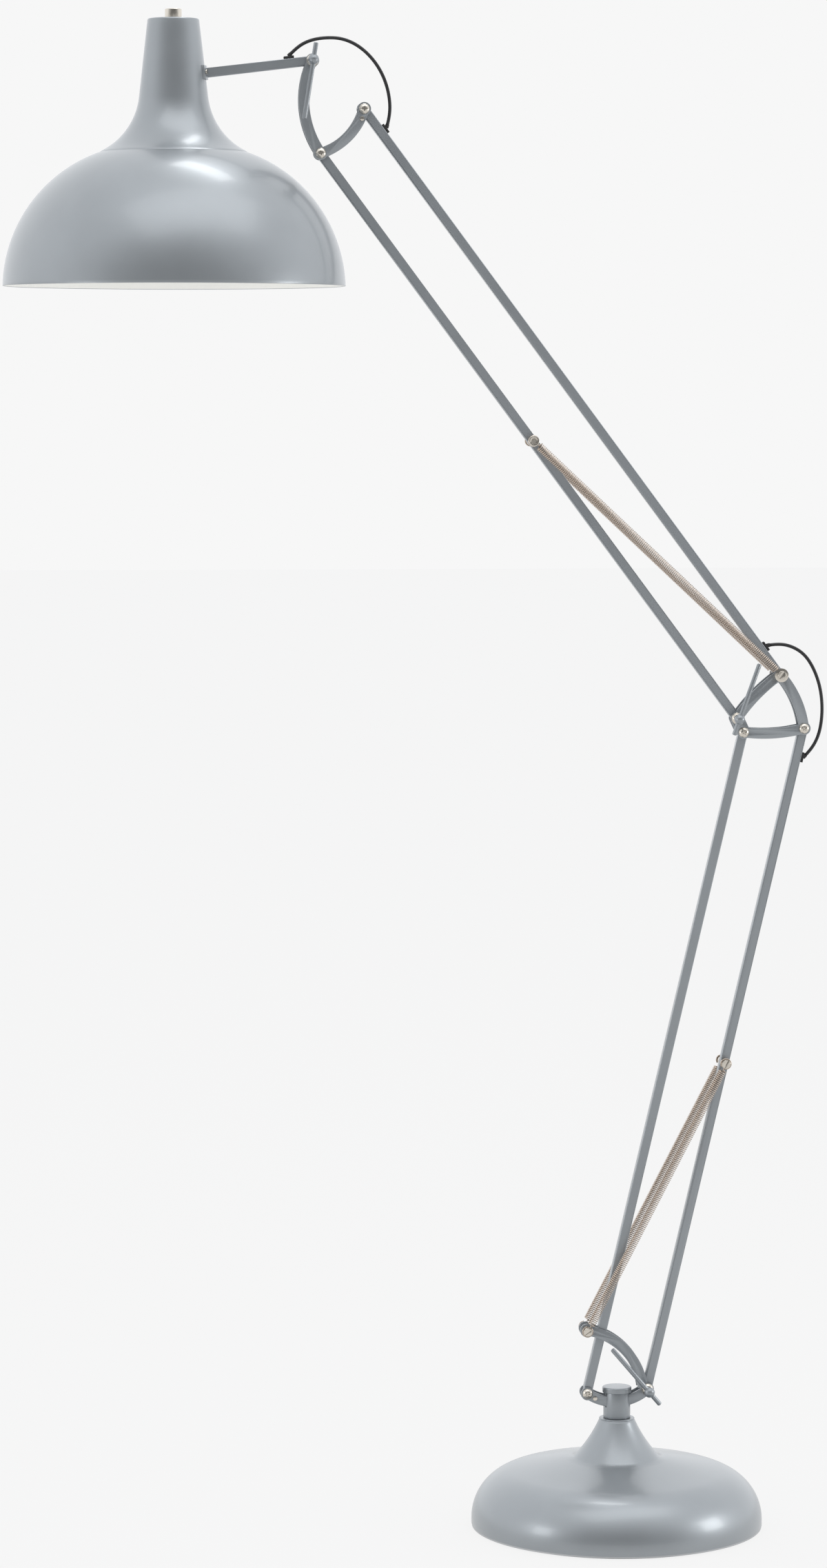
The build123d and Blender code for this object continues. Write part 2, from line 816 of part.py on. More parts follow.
with BuildPart() as head_pivot_bolts:
    pan_bolt(head_foot, 15)
    pan_bolt(head_top, 0)
finish(head_pivot_bolts, "head_pivot_bolts")

with BuildPart() as head_rivets:
    for side in (1, -1):
        plate_rivet(shifted(head_top, head_rivet), side)
finish(head_rivets, "head_rivets")

with BuildPart() as head_clamp_bolt:
    clamp_bolt(head_clamp)
finish(head_clamp_bolt, "head_clamp_bolt")

with BuildPart() as head_clamp_washer:
    dome_washer(head_clamp)
finish(head_clamp_washer, "head_clamp_washer")

with BuildPart() as head_knob:
    tee_knob(head_clamp, head_handle_angle)
finish(head_knob, "head_knob")

# ---------------------------------------------------------------- head bar and shade

shade_axis = Axis((shade_x, 0, 0), (0, 0, 1))
neck_slope = (neck_radius - neck_top_radius) / (rim_to_top - rim_to_neck)
head_exit = from_point(head_clamp, head_bar_exit, head_bar_angle)
head_outward = head_bar_angle - 90


def neck_at(height):
    """The neck's outer radius at this height above the rim, on its straight stretch."""
    return neck_top_radius + (rim_to_top - height) * neck_slope


def shade_point(radius, height):
    """A point of the shade's outline in the arms' plane, on its arm side."""
    return (shade_x + radius, rim_z + height)


def shade_spot(height):
    """The place on the shade's axis at this height above the rim."""
    return Location((shade_x, 0, rim_z + height))


bar_meets_neck = shade_x + neck_at(rim_to_bar) + saddle_thickness
head_bar_length = (head_clamp[0] - bar_meets_neck) / -cos(radians(head_bar_angle))
saddle_z = head_clamp[1] + head_bar_length * sin(radians(head_bar_angle))
saddle_low = saddle_z - saddle_height / 2 - rim_z
saddle_high = saddle_z + saddle_height / 2 - rim_z

with BuildPart() as neck_envelope:
    with BuildSketch(Plane.XZ):
        with BuildLine():
            Polyline(
                shade_point(0, rim_to_neck),
                shade_point(neck_at(rim_to_neck) + saddle_thickness, rim_to_neck),
                shade_point(neck_at(rim_to_top) + saddle_thickness, rim_to_top),
                shade_point(0, rim_to_top),
                close=True,
            )
        make_face()
    revolve(axis=shade_axis)

with BuildPart() as head_bar:
    square_bar(head_clamp, head_bar_length, head_bar_angle, 4.0)
    bush_holes(head_clamp)
    grommet_hole(head_exit, head_outward)
    add(neck_envelope.part, mode=Mode.SUBTRACT)
finish(head_bar, "head_bar")

with BuildPart() as head_bar_bush:
    bush(head_clamp, bolt_radius + running_fit)
finish(head_bar_bush, "head_bar_bush")

with BuildPart() as head_bar_grommet:
    grommet(head_exit, head_outward, head_cable[0])
finish(head_bar_grommet, "head_bar_grommet")

screw_angles = (-20, 20)
neck_tilt = degrees(atan2(neck_slope, 1.0))


def saddle_spots(start):
    """The places on the saddle's screws, from start inside or outside the neck's surface."""
    for angle in screw_angles:
        turn = Location((shade_x, 0, saddle_z), (0, 0, angle))
        surface = Location((neck_at(saddle_z - rim_z), 0, 0), (0, 90 - neck_tilt, 0))
        yield turn * surface * Location((0, 0, start))


with BuildPart() as saddle_plate:
    with BuildSketch(Plane.XZ):
        with BuildLine():
            Polyline(
                shade_point(neck_at(saddle_low), saddle_low),
                shade_point(neck_at(saddle_low) + saddle_thickness, saddle_low),
                shade_point(neck_at(saddle_high) + saddle_thickness, saddle_high),
                shade_point(neck_at(saddle_high), saddle_high),
                close=True,
            )
        make_face()
    revolve(axis=shade_axis)
    with Locations((shade_x, 0, saddle_z)):
        saddle_box = (Align.MIN, Align.CENTER, Align.CENTER)
        Box(100, saddle_width, 100, align=saddle_box, mode=Mode.INTERSECT)
    with Locations(*saddle_spots(-5.0)):
        Cylinder(rivet_radius + clearance, 15, align=upright, mode=Mode.SUBTRACT)
finish(saddle_plate, "saddle_plate")

with BuildPart() as saddle_screws:
    with Locations(*saddle_spots(-shade_wall - saddle_screw_grip)):
        Cylinder(rivet_radius, shade_wall + saddle_screw_grip + saddle_thickness, align=upright)
    with Locations(*saddle_spots(saddle_thickness + 0.02)):
        Cylinder(rivet_radius + 1.2, saddle_screw_head, align=upright)
        Cylinder(rivet_radius, 0.1, align=(Align.CENTER, Align.CENTER, Align.CENTER))
finish(saddle_screws, "saddle_screws")

with BuildPart() as shade_neck:
    with BuildSketch(Plane.XZ):
        with BuildLine():
            Line(
                shade_point(button_radius + button_gap, rim_to_top),
                shade_point(neck_top_radius - neck_lid_inset, rim_to_top),
            )
            Line(
                shade_point(neck_top_radius - neck_lid_inset, rim_to_top),
                shade_point(neck_at(rim_to_top - neck_lid_drop), rim_to_top - neck_lid_drop),
            )
            Line(
                shade_point(neck_at(rim_to_top - neck_lid_drop), rim_to_top - neck_lid_drop),
                shade_point(neck_radius, rim_to_neck),
            )
            ThreePointArc(
                shade_point(neck_radius, rim_to_neck),
                shade_point(*flare_middle),
                shade_point(seam_radius, rim_to_seam),
            )
            offset(amount=shade_wall, side=Side.RIGHT)
        make_face()
    revolve(axis=shade_axis)
    with Locations(*saddle_spots(-5.0)):
        Cylinder(rivet_radius + clearance, 15, align=upright, mode=Mode.SUBTRACT)
finish(shade_neck, "shade_neck")

with BuildPart() as shade_dome:
    with BuildSketch(Plane.XZ):
        with BuildLine():
            ThreePointArc(
                shade_point(seam_radius, rim_to_seam),
                shade_point(*dome_middle),
                shade_point(rim_radius, 0),
            )
            offset(amount=shade_wall, side=Side.RIGHT)
        make_face()
    revolve(axis=shade_axis)
finish(shade_dome, "shade_dome")

# ---------------------------------------------------------------- lampholder and switch

holder_top = holder_mouth + holder_length

with BuildPart() as lampholder:
    with Locations(shade_spot(holder_mouth)):
        Cylinder(holder_radius - holder_step_inset, holder_step, align=upright)
    with Locations(shade_spot(holder_mouth + holder_step)):
        Cylinder(holder_radius, holder_length - holder_step, align=upright)
    with Locations(shade_spot(holder_mouth)):
        Cylinder(holder_thread_radius, holder_thread_length, align=upright, mode=Mode.SUBTRACT)
    fillet(lampholder.edges().group_by(Axis.Z)[-1], holder_round)
finish(lampholder, "lampholder")

with BuildPart() as lampholder_ring:
    with BuildSketch(Plane.XY.offset(rim_z + holder_mouth + ring_rise)):
        with Locations((shade_x, 0)):
            Circle(holder_radius + ring_lip)
            Circle(holder_radius - holder_step_inset + clearance, mode=Mode.SUBTRACT)
    extrude(amount=ring_height)
finish(lampholder_ring, "lampholder_ring")

with BuildPart() as lampholder_carrier:
    with BuildSketch(Plane.XY.offset(rim_z + holder_top)):
        with Locations((shade_x, 0)):
            Circle(neck_at(holder_top + carrier_thickness) - shade_wall - button_gap)
            with PolarLocations(carrier_vent_circle, carrier_vents):
                Circle(carrier_vent_radius, mode=Mode.SUBTRACT)
    extrude(amount=carrier_thickness)
finish(lampholder_carrier, "lampholder_carrier")

button_foot = rim_to_top - button_sink

with BuildPart() as switch_body:
    body_height = button_foot - switch_travel - button_gap - holder_top - carrier_thickness
    with Locations(shade_spot(holder_top + carrier_thickness)):
        Cylinder(switch_body_radius, body_height, align=upright)
finish(switch_body, "switch_body")

with BuildPart() as switch_button:
    with Locations(shade_spot(button_foot)):
        Cylinder(button_radius, button_sink + button_height, align=upright)
    fillet(switch_button.edges().group_by(Axis.Z)[-1], 0.8)
finish(switch_button, "switch_button")

# ---------------------------------------------------------------- springs


def spring_coils(low, high):
    """A front and a rear coil between two anchors, each with a hook round the lower one."""
    angle = heading(low, high)
    end = span(low, high) - spring_end_gap - hook_plug
    for depth in (spring_depth, -spring_depth):
        rod(low, angle, depth, spring_end_gap, end, coil_radius)
        inside = coil_radius - coil_wall
        rod(low, angle, depth, spring_end_gap + hook_plug, end, inside, Mode.SUBTRACT)
        rod(low, angle, depth, hook_radius, spring_end_gap, wire_radius)
        with Locations(facing(low, depth)):
            Torus(hook_radius, wire_radius)


def spring_hooks(low, high):
    """The upper hooks of a pair of springs, each with the plug that closes its coil."""
    angle = heading(high, low)
    for depth in (spring_depth, -spring_depth):
        rod(high, angle, depth, spring_end_gap, spring_end_gap + hook_plug, coil_radius)
        rod(high, angle, depth, hook_radius, spring_end_gap, wire_radius)
        with Locations(facing(high, depth)):
            Torus(hook_radius, wire_radius)


with BuildPart() as lower_spring_coils:
    spring_coils(horn_tip, lower_spring_top)
finish(lower_spring_coils, "lower_spring_coils")

with BuildPart() as lower_spring_hooks:
    spring_hooks(horn_tip, lower_spring_top)
finish(lower_spring_hooks, "lower_spring_hooks")

with BuildPart() as upper_spring_coils:
    spring_coils(elbow_top, upper_spring_top)
finish(upper_spring_coils, "upper_spring_coils")

with BuildPart() as upper_spring_hooks:
    spring_hooks(elbow_top, upper_spring_top)
finish(upper_spring_hooks, "upper_spring_hooks")

# ---------------------------------------------------------------- cable loops

elbow_route = [
    nose_tip(upper_low_exit, upper_outward, elbow_cable[0]),
    *elbow_cable,
    nose_tip(lower_exit, lower_outward, elbow_cable[-1]),
]
head_route = [
    nose_tip(head_exit, head_outward, head_cable[0]),
    *head_cable,
    nose_tip(upper_high_exit, upper_outward, head_cable[-1]),
]

elbow_cable_loop = cable_tube(elbow_route)
finish(elbow_cable_loop, "elbow_cable_loop")

head_cable_loop = cable_tube(head_route)
finish(head_cable_loop, "head_cable_loop")
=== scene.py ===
"""The look of the adjustable arm floor lamp: painted steel arms and shade, plated fasteners and springs.

Metres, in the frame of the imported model: +Z is up, the arms lie in the XZ plane, the front faces -Y.
"""

import json
from math import asin, atan2, cos, hypot, pi, radians, sin, tau

import bmesh
import bpy
from mathutils import Matrix, Vector


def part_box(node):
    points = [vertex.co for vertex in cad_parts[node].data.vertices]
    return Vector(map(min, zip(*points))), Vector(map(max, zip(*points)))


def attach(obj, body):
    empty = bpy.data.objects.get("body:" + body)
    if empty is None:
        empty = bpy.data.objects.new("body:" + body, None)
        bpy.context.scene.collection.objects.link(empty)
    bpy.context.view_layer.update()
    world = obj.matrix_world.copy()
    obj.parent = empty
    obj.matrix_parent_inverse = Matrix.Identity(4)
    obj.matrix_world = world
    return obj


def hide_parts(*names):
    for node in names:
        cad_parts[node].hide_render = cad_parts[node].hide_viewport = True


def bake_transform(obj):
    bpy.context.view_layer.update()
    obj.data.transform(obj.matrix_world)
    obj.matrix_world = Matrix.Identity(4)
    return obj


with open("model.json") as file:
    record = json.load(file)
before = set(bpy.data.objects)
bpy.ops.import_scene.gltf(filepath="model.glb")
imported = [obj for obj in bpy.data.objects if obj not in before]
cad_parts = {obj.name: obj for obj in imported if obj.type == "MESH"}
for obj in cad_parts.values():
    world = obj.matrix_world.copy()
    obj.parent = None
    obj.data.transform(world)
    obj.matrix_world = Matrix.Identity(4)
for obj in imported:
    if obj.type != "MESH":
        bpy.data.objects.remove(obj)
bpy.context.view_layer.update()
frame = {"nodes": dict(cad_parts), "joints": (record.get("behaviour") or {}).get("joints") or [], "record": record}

# ---------------------------------------------------------------- camera, floor and light
# A small studio: a pale floor that runs into a pale background, soft boxes at both sides, in front
# and overhead, and a camera far back on the -Y side, a little to the left, that looks slightly down.

mm = 0.001
camera_target = Vector((-0.2458, 0.0, 0.8991))
camera_distance = 5.716
camera_azimuth = radians(-5.0)
camera_elevation = radians(4.75)
camera_lens = 110.6
background_tone = "#f7f7f7"


def tone(code):
    """A linear colour from an sRGB hex value."""
    shares = [int(code[i : i + 2], 16) / 255 for i in (1, 3, 5)]
    return (*[s / 12.92 if s < 0.04045 else ((s + 0.055) / 1.055) ** 2.4 for s in shares], 1.0)


def add_node(tree, kind, sockets=None, **settings):
    """One node with its settings, and its sockets, each a value or another node's output."""
    node = tree.nodes.new(kind)
    for name, value in settings.items():
        setattr(node, name, value)
    for name, value in (sockets or {}).items():
        if isinstance(value, bpy.types.NodeSocket):
            tree.links.new(value, node.inputs[name])
        else:
            node.inputs[name].default_value = value
    return node


def new_finish(name):
    """An empty material and its node tree."""
    finish = bpy.data.materials.new(name)
    finish.use_nodes = True
    finish.node_tree.nodes.clear()
    return finish, finish.node_tree


def close_finish(tree, shader):
    """Ends a material with this shader's output."""
    add_node(tree, "ShaderNodeOutputMaterial", {"Surface": shader})


scene = bpy.context.scene
scene.view_settings.view_transform = "Standard"

camera_data = bpy.data.cameras.new("camera")
camera_data.lens = camera_lens
camera_data.sensor_width = 36.0
camera_data.clip_end = 100.0
camera = bpy.data.objects.new("camera", camera_data)
away = Vector(
    (
        sin(camera_azimuth) * cos(camera_elevation),
        -cos(camera_azimuth) * cos(camera_elevation),
        sin(camera_elevation),
    )
)
camera.location = camera_target + camera_distance * away
camera.rotation_euler = (-away).to_track_quat("-Z", "Y").to_euler()
scene.collection.objects.link(camera)
scene.camera = camera

# The room is bright behind, above and at the sides, and dark where the camera stands.
overhead_share = 0.55
darkest_at, dark_strength = -0.95, 0.2
brightest_at, bright_strength = 0.05, 1.32
world = bpy.data.worlds.new("studio")
world.use_nodes = True
room = world.node_tree
room.nodes.clear()
heading = add_node(room, "ShaderNodeTexCoord")
parts = add_node(room, "ShaderNodeSeparateXYZ", {"Vector": heading.outputs["Generated"]})
tilted = add_node(room, "ShaderNodeMath", {0: parts.outputs["Z"], 1: overhead_share}, operation="MULTIPLY")
depthwise = add_node(room, "ShaderNodeMath", {0: parts.outputs["Y"], 1: tilted.outputs[0]}, operation="ADD")
brightness = add_node(
    room,
    "ShaderNodeMapRange",
    {0: depthwise.outputs[0], 1: darkest_at, 2: brightest_at, 3: dark_strength, 4: bright_strength},
    interpolation_type="SMOOTHSTEP",
)
surroundings = add_node(
    room, "ShaderNodeBackground", {"Color": tone("#f4f5f7"), "Strength": brightness.outputs[0]}
)
backdrop = add_node(room, "ShaderNodeBackground", {"Color": tone(background_tone), "Strength": 1.0})
seen = add_node(room, "ShaderNodeLightPath")
chosen = add_node(
    room,
    "ShaderNodeMixShader",
    {0: seen.outputs["Is Camera Ray"], 1: surroundings.outputs[0], 2: backdrop.outputs[0]},
)
add_node(room, "ShaderNodeOutputWorld", {"Surface": chosen.outputs[0]})
scene.world = world


def soft_box(name, place, aim, width, height, power):
    """A flat area light that points at a spot."""
    data = bpy.data.lights.new(name, "AREA")
    data.energy = power
    data.shape = "RECTANGLE"
    data.size = width
    data.size_y = height
    lamp = bpy.data.objects.new(name, data)
    lamp.location = place
    lamp.rotation_euler = (Vector(aim) - Vector(place)).to_track_quat("-Z", "Y").to_euler()
    scene.collection.objects.link(lamp)


soft_box("left_box", (-2.7, -1.1, 0.8), (0.0, 0.0, 0.1), 0.8, 0.8, 7.0)
soft_box("right_box", (2.7, -0.7, 1.0), (0.0, 0.0, 0.1), 1.0, 1.0, 15.0)
soft_box("front_top_box", (0.1, -1.4, 4.4), (-0.3, 0.0, 0.9), 4.6, 2.2, 30.0)
soft_box("overhead_box", (-0.1, 0.6, 3.5), (-0.5, 0.0, 1.6), 0.9, 0.35, 6.5)

floor_glow = 0.975
chalk_share = 0.06
floor_half = 30.0
floor_paint, tree = new_finish("pale_studio_floor")
glow = add_node(tree, "ShaderNodeEmission", {"Color": tone(background_tone), "Strength": floor_glow})
chalk = add_node(tree, "ShaderNodeBsdfDiffuse", {"Color": tone("#f4f4f4")})
mixed = add_node(tree, "ShaderNodeMixShader", {0: chalk_share, 1: glow.outputs[0], 2: chalk.outputs[0]})
close_finish(tree, mixed.outputs[0])
floor_mesh = bpy.data.meshes.new("floor")
corners = [(x * floor_half, y * floor_half, 0.0) for x, y in ((-1, -1), (1, -1), (1, 1), (-1, 1))]
floor_mesh.from_pydata(corners, [], [(0, 1, 2, 3)])
floor_mesh.materials.append(floor_paint)
floor = bpy.data.objects.new("floor", floor_mesh)
scene.collection.objects.link(floor)

# ---------------------------------------------------------------- cable loops
# Black PVC lead, 4 mm, that leaves one tube by a rubber grommet, bows out past a pivot and goes
# back into the next tube, with enough slack for the joint. The rest of it runs inside the tubes.

cable_diameter = 4.0 * mm
elbow_route = [
    (180.73, 1062.21),
    (192.0, 1063.8),
    (208.0, 1060.3),
    (222.5, 1051.0),
    (233.0, 1035.5),
    (240.5, 1016.0),
    (244.0, 996.0),
    (244.1, 975.0),
    (240.5, 954.5),
    (232.0, 938.0),
    (224.41, 930.35),
]
head_route = [
    (-389.75, 1757.09),
    (-381.5, 1765.5),
    (-367.5, 1772.8),
    (-350.0, 1776.0),
    (-331.0, 1775.5),
    (-313.0, 1768.5),
    (-297.0, 1755.5),
    (-284.5, 1738.5),
    (-276.5, 1719.0),
    (-273.2, 1699.0),
    (-274.4, 1683.0),
    (-276.54, 1675.34),
]


def grained_finish(name, code, roughness, grain, detail, dents, depth, more):
    """A finish of one colour and shine, with a relief of this many grains a metre."""
    finish, tree = new_finish(name)
    spots = add_node(tree, "ShaderNodeTexCoord")
    pattern = add_node(
        tree, "ShaderNodeTexNoise", {"Vector": spots.outputs["Object"], "Scale": grain, "Detail": detail}
    )
    relief = add_node(
        tree, "ShaderNodeBump", {"Height": pattern.outputs["Fac"], "Strength": dents, "Distance": depth}
    )
    surface = add_node(
        tree,
        "ShaderNodeBsdfPrincipled",
        {"Base Color": tone(code), "Roughness": roughness, "Normal": relief.outputs["Normal"], **more},
    )
    close_finish(tree, surface.outputs[0])
    return finish


# Extruded PVC is a dull black with a faint drawn grain, and picks up soft highlights.
cable_black = grained_finish(
    "black_pvc_sheath",
    "#17181a",
    0.46,
    grain=900.0,
    detail=3.0,
    dents=0.12,
    depth=0.2 * mm,
    more={"IOR": 1.52},
)


def new_piece(name, mesh, *finishes):
    """An object at the origin that shows this mesh in these finishes."""
    piece = bpy.data.objects.new(name, mesh)
    scene.collection.objects.link(piece)
    # Clearing also puts every face back on the first finish, so it waits until there is one to clear.
    if mesh.materials:
        mesh.materials.clear()
    for finish in finishes:
        mesh.materials.append(finish)
    return piece


def smooth_line(points):
    """The points along a smooth line that these places pull on."""
    data = bpy.data.curves.new("route", "CURVE")
    data.dimensions = "3D"
    data.resolution_u = 10
    spline = data.splines.new("NURBS")
    spline.points.add(len(points) - 1)
    for point, (x, z) in zip(spline.points, points):
        point.co = (x * mm, 0.0, z * mm, 1.0)
    spline.order_u = 3
    spline.use_endpoint_u = True
    holder = bpy.data.objects.new("route", data)
    scene.collection.objects.link(holder)
    line = bpy.data.meshes.new_from_object(holder)
    found = [v.co.copy() for v in line.vertices]
    bpy.data.objects.remove(holder)
    return found


def tube_along(name, path, radius, sides):
    """A closed round tube whose rings stand on the points of a path in the arms' plane."""
    mesh = bpy.data.meshes.new(name)
    shell = bmesh.new()
    rings = []
    for i, place in enumerate(path):
        run = (path[min(i + 1, len(path) - 1)] - path[max(i - 1, 0)]).normalized()
        across = Vector((0, 1, 0)).cross(run).normalized()
        third = run.cross(across)
        ring = []
        for k in range(sides):
            turn = tau * k / sides
            ring.append(shell.verts.new(place + radius * (cos(turn) * across + sin(turn) * third)))
        rings.append(ring)
    for low, high in zip(rings, rings[1:]):
        for k in range(sides):
            shell.faces.new((low[k], low[(k + 1) % sides], high[(k + 1) % sides], high[k]))
    shell.faces.new(list(reversed(rings[0])))
    shell.faces.new(rings[-1])
    bmesh.ops.recalc_face_normals(shell, faces=shell.faces)
    for face in shell.faces:
        face.smooth = len(face.verts) == 4
    shell.to_mesh(mesh)
    shell.free()
    return mesh


def cable_half(name, path, node):
    """Half of a loop, from the bracket's part of it to the grommet on an arm."""
    piece = new_piece(name, tube_along(name, path, cable_diameter / 2, 16), cable_black)
    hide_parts(node)
    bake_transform(piece)


for name, route, ends, node in (
    ("elbow_cable", elbow_route, ("upper_main_arm", "elbow", "lower_main_arm"), "elbow_cable_loop"),
    ("head_cable", head_route, ("head", "head_bracket", "upper_main_arm"), "head_cable_loop"),
):
    line = smooth_line(route)
    middle = len(line) // 2
    cable_half(name + "_first", list(reversed(line[: middle + 1])), node)
    cable_half(name + "_second", line[middle:], node)

# ---------------------------------------------------------------- painted steel
# Spun and pressed mild steel, sprayed silver grey and stoved. The paint has a fine orange peel, a
# satin shine and tiny flakes. The inside of the shade is sprayed white.


def grey_paint(name, code, roughness):
    """A satin silver-grey stoving enamel over steel."""
    finish, tree = new_finish(name)
    spots = add_node(tree, "ShaderNodeTexCoord")
    # Orange peel is about 1.5 mm from crest to crest.
    peel = add_node(
        tree, "ShaderNodeTexNoise", {"Vector": spots.outputs["Object"], "Scale": 650.0, "Detail": 2.0}
    )
    # Slow drifts in the spray, some 60 mm across.
    drift = add_node(
        tree, "ShaderNodeTexNoise", {"Vector": spots.outputs["Object"], "Scale": 16.0, "Detail": 3.0}
    )
    # Aluminium flakes are too fine to show, so they are drawn at 0.6 mm.
    flakes = add_node(tree, "ShaderNodeTexVoronoi", {"Vector": spots.outputs["Object"], "Scale": 1600.0})
    base = tone(code)
    pale = tuple(min(1.0, c * 1.09) for c in base[:3]) + (1.0,)
    dark = tuple(c * 0.93 for c in base[:3]) + (1.0,)
    spray = add_node(
        tree, "ShaderNodeMix", {0: drift.outputs["Fac"], 6: dark, 7: pale}, data_type="RGBA"
    )
    fleck = add_node(
        tree,
        "ShaderNodeMix",
        {0: 0.012, 6: spray.outputs[2], 7: flakes.outputs["Color"]},
        data_type="RGBA",
        blend_type="SOFT_LIGHT",
    )
    gloss = add_node(
        tree,
        "ShaderNodeMapRange",
        {0: drift.outputs["Fac"], 3: roughness - 0.03, 4: roughness + 0.04},
    )
    dents = add_node(
        tree, "ShaderNodeBump", {"Height": peel.outputs["Fac"], "Strength": 0.014, "Distance": 0.6 * mm}
    )
    paint = add_node(
        tree,
        "ShaderNodeBsdfPrincipled",
        {
            "Base Color": fleck.outputs[2],
            "Metallic": 0.62,
            "Roughness": gloss.outputs[0],
            "IOR": 1.5,
            "Coat Weight": 0.35,
            "Coat Roughness": 0.12,
            "Normal": dents.outputs["Normal"],
        },
    )
    close_finish(tree, paint.outputs[0])
    return finish


silver_enamel = grey_paint("silver_grey_stoving_enamel", "#94999d", 0.36)
knob_enamel = grey_paint("knob_grey_enamel", "#8f9498", 0.34)

# The white is matt enough to spread the light.
white_enamel = grained_finish(
    "white_reflector_enamel",
    "#f2f2ef",
    0.45,
    grain=500.0,
    detail=2.0,
    dents=0.05,
    depth=0.6 * mm,
    more={"IOR": 1.5},
)

# ---------------------------------------------------------------- base cover, collar and post
# One spun steel cover, swept up to a narrow neck, hemmed round a steel floor plate. A turned collar
# closes its neck, and the post with its domed cap turns on it.

cover_low, cover_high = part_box("base_cover")
cover_radius = cover_high.x
cover_foot = cover_low.z
cover_wall = 1.5 * mm
side_height = 10.4 * mm
shoulder = (126.8 * mm, 69.2 * mm)
flare_foot = (52.0 * mm, 84.2 * mm)
flare_middle = (33.6 * mm, 107.7 * mm)
flare_top = (21.0 * mm, 131.0 * mm)


def arc(start, through, end, count):
    """Points on the arc from start through a middle point to end, both ends included."""
    (ax, ay), (bx, by), (cx, cy) = start, through, end
    d = 2 * (ax * (by - cy) + bx * (cy - ay) + cx * (ay - by))
    ux = ((ax**2 + ay**2) * (by - cy) + (bx**2 + by**2) * (cy - ay) + (cx**2 + cy**2) * (ay - by)) / d
    uy = ((ax**2 + ay**2) * (cx - bx) + (bx**2 + by**2) * (ax - cx) + (cx**2 + cy**2) * (bx - ax)) / d
    radius = hypot(ax - ux, ay - uy)
    first, mid, last = (atan2(y - uy, x - ux) for x, y in (start, through, end))
    sweep = (last - first) % tau
    if (mid - first) % tau > sweep:
        sweep -= tau
    turns = [first + sweep * i / (count - 1) for i in range(count)]
    return [(ux + radius * cos(t), uy + radius * sin(t)) for t in turns]


def inner_side(outline, wall):
    """The same outline moved to its left by the wall's thickness."""
    moved = []
    for i, (x, y) in enumerate(outline):
        ax, ay = outline[max(i - 1, 0)]
        bx, by = outline[min(i + 1, len(outline) - 1)]
        length = hypot(bx - ax, by - ay)
        moved.append((x - wall * (by - ay) / length, y + wall * (bx - ax) / length))
    return moved


def hem(start, end, count):
    """A half round edge that joins the two skins of a wall, bulging past them."""
    (ax, ay), (bx, by) = start, end
    middle = ((ax + bx) / 2, (ay + by) / 2)
    bulge = (middle[0] + (by - ay) / 2, middle[1] - (bx - ax) / 2)
    return arc(start, bulge, end, count)[1:-1]


def between(start, end, parts):
    """The points that cut a straight line into equal parts, without its ends."""
    return [tuple(a + (b - a) * i / parts for a, b in zip(start, end)) for i in range(1, parts)]


def two_skins(outer, wall, hem_steps):
    """A ring for a wall with rounded edges, and the rule for which side each step is on."""
    inner = inner_side(outer, wall)
    start_edge = hem(inner[0], outer[0], hem_steps)
    end_edge = hem(outer[-1], inner[-1], hem_steps)
    ring = outer + end_edge + list(reversed(inner)) + start_edge
    first_inner = len(outer) + len(end_edge)
    last_inner = first_inner + len(inner) - 1

    def side(i):
        return 1 if first_inner <= i < last_inner else 0

    return ring, side


turned_corner = radians(40)


def turned(name, ring, centre, steps, finish_of=None):
    """A closed ring of (radius, height) points turned round the upright line through centre."""
    mesh = bpy.data.meshes.new(name)
    shell = bmesh.new()
    columns = []
    for k in range(steps):
        turn = tau * k / steps
        column = []
        for r, z in ring:
            place = (centre[0] + r * cos(turn), centre[1] + r * sin(turn), centre[2] + z)
            column.append(shell.verts.new(place))
        columns.append(column)
    for k in range(steps):
        here, there = columns[k], columns[(k + 1) % steps]
        for i in range(len(ring)):
            j = (i + 1) % len(ring)
            face = shell.faces.new((here[i], there[i], there[j], here[j]))
            face.smooth = True
            face.material_index = finish_of(i) if finish_of else 0
    bmesh.ops.remove_doubles(shell, verts=shell.verts, dist=1e-7)
    bmesh.ops.recalc_face_normals(shell, faces=shell.faces)
    shell.to_mesh(mesh)
    shell.free()
    mesh.set_sharp_from_angle(angle=turned_corner)
    return mesh


# The side rises straight up from the hem and rolls over to the shoulder in one arc.
roll_in = cover_radius - shoulder[0]
rise = shoulder[1] - side_height
roll_radius = (roll_in**2 + rise**2) / (2 * roll_in)
roll_turn = radians(40)
roll_middle = (
    cover_radius - roll_radius * (1 - cos(roll_turn)),
    side_height + roll_radius * sin(roll_turn),
)
outer = [(cover_radius, cover_foot)]
outer += arc((cover_radius, side_height), roll_middle, shoulder, 28)
outer += between(shoulder, flare_foot, 8)
outer += arc(flare_foot, flare_middle, flare_top, 20)
ring, side = two_skins(outer, cover_wall, 5)
base_cover = new_piece("base_cover_shell", turned("base_cover_shell", ring, (0, 0, 0), 200), silver_enamel)
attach(base_cover, "base")
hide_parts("base_cover")

# ---------------------------------------------------------------- plated fasteners and springs
# Nickel-plated steel: bright, slightly warm, with hairline turning marks on the heads.


def uneven_shine(name, code, grain, detail, shine, more, dents=0.0):
    """A finish whose roughness drifts between two values, over a pattern with this many grains a metre."""
    finish, tree = new_finish(name)
    spots = add_node(tree, "ShaderNodeTexCoord")
    marks = add_node(
        tree, "ShaderNodeTexNoise", {"Vector": spots.outputs["Object"], "Scale": grain, "Detail": detail}
    )
    gloss = add_node(tree, "ShaderNodeMapRange", {0: marks.outputs["Fac"], 3: shine[0], 4: shine[1]})
    sockets = {"Base Color": tone(code), "Roughness": gloss.outputs[0], **more}
    if dents:
        relief = add_node(
            tree, "ShaderNodeBump", {"Height": marks.outputs["Fac"], "Strength": dents, "Distance": 0.3 * mm}
        )
        sockets["Normal"] = relief.outputs["Normal"]
    surface = add_node(tree, "ShaderNodeBsdfPrincipled", sockets)
    close_finish(tree, surface.outputs[0])
    return finish


